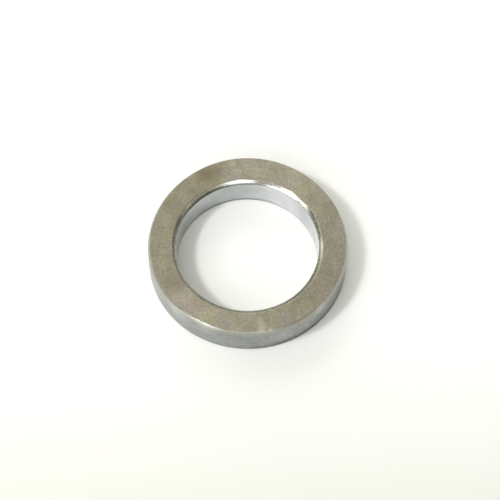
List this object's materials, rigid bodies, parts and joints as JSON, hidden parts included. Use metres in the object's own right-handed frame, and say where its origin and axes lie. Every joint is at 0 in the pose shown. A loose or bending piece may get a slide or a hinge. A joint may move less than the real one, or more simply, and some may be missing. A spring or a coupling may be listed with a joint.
{
  "type": "shaft collar",
  "caption": "Plain turned steel shaft collar: a solid flat-faced ring with a chamfered bore, used as a stop or spacer on a shaft.",
  "frame": {"origin": "on the bore axis, at the bottom face", "axes": "+Z along the bore, towards the face with the larger bore chamfer; the ring is round, so X and Y are free"},
  "size_m": [0.028, 0.028, 0.005],
  "materials": {
    "turned_steel": "turned and faced, dull satin, lightly oxidised"
  },
  "bodies": {
    "root": {"collar_ring": "turned_steel"}
  },
  "joints": []
}
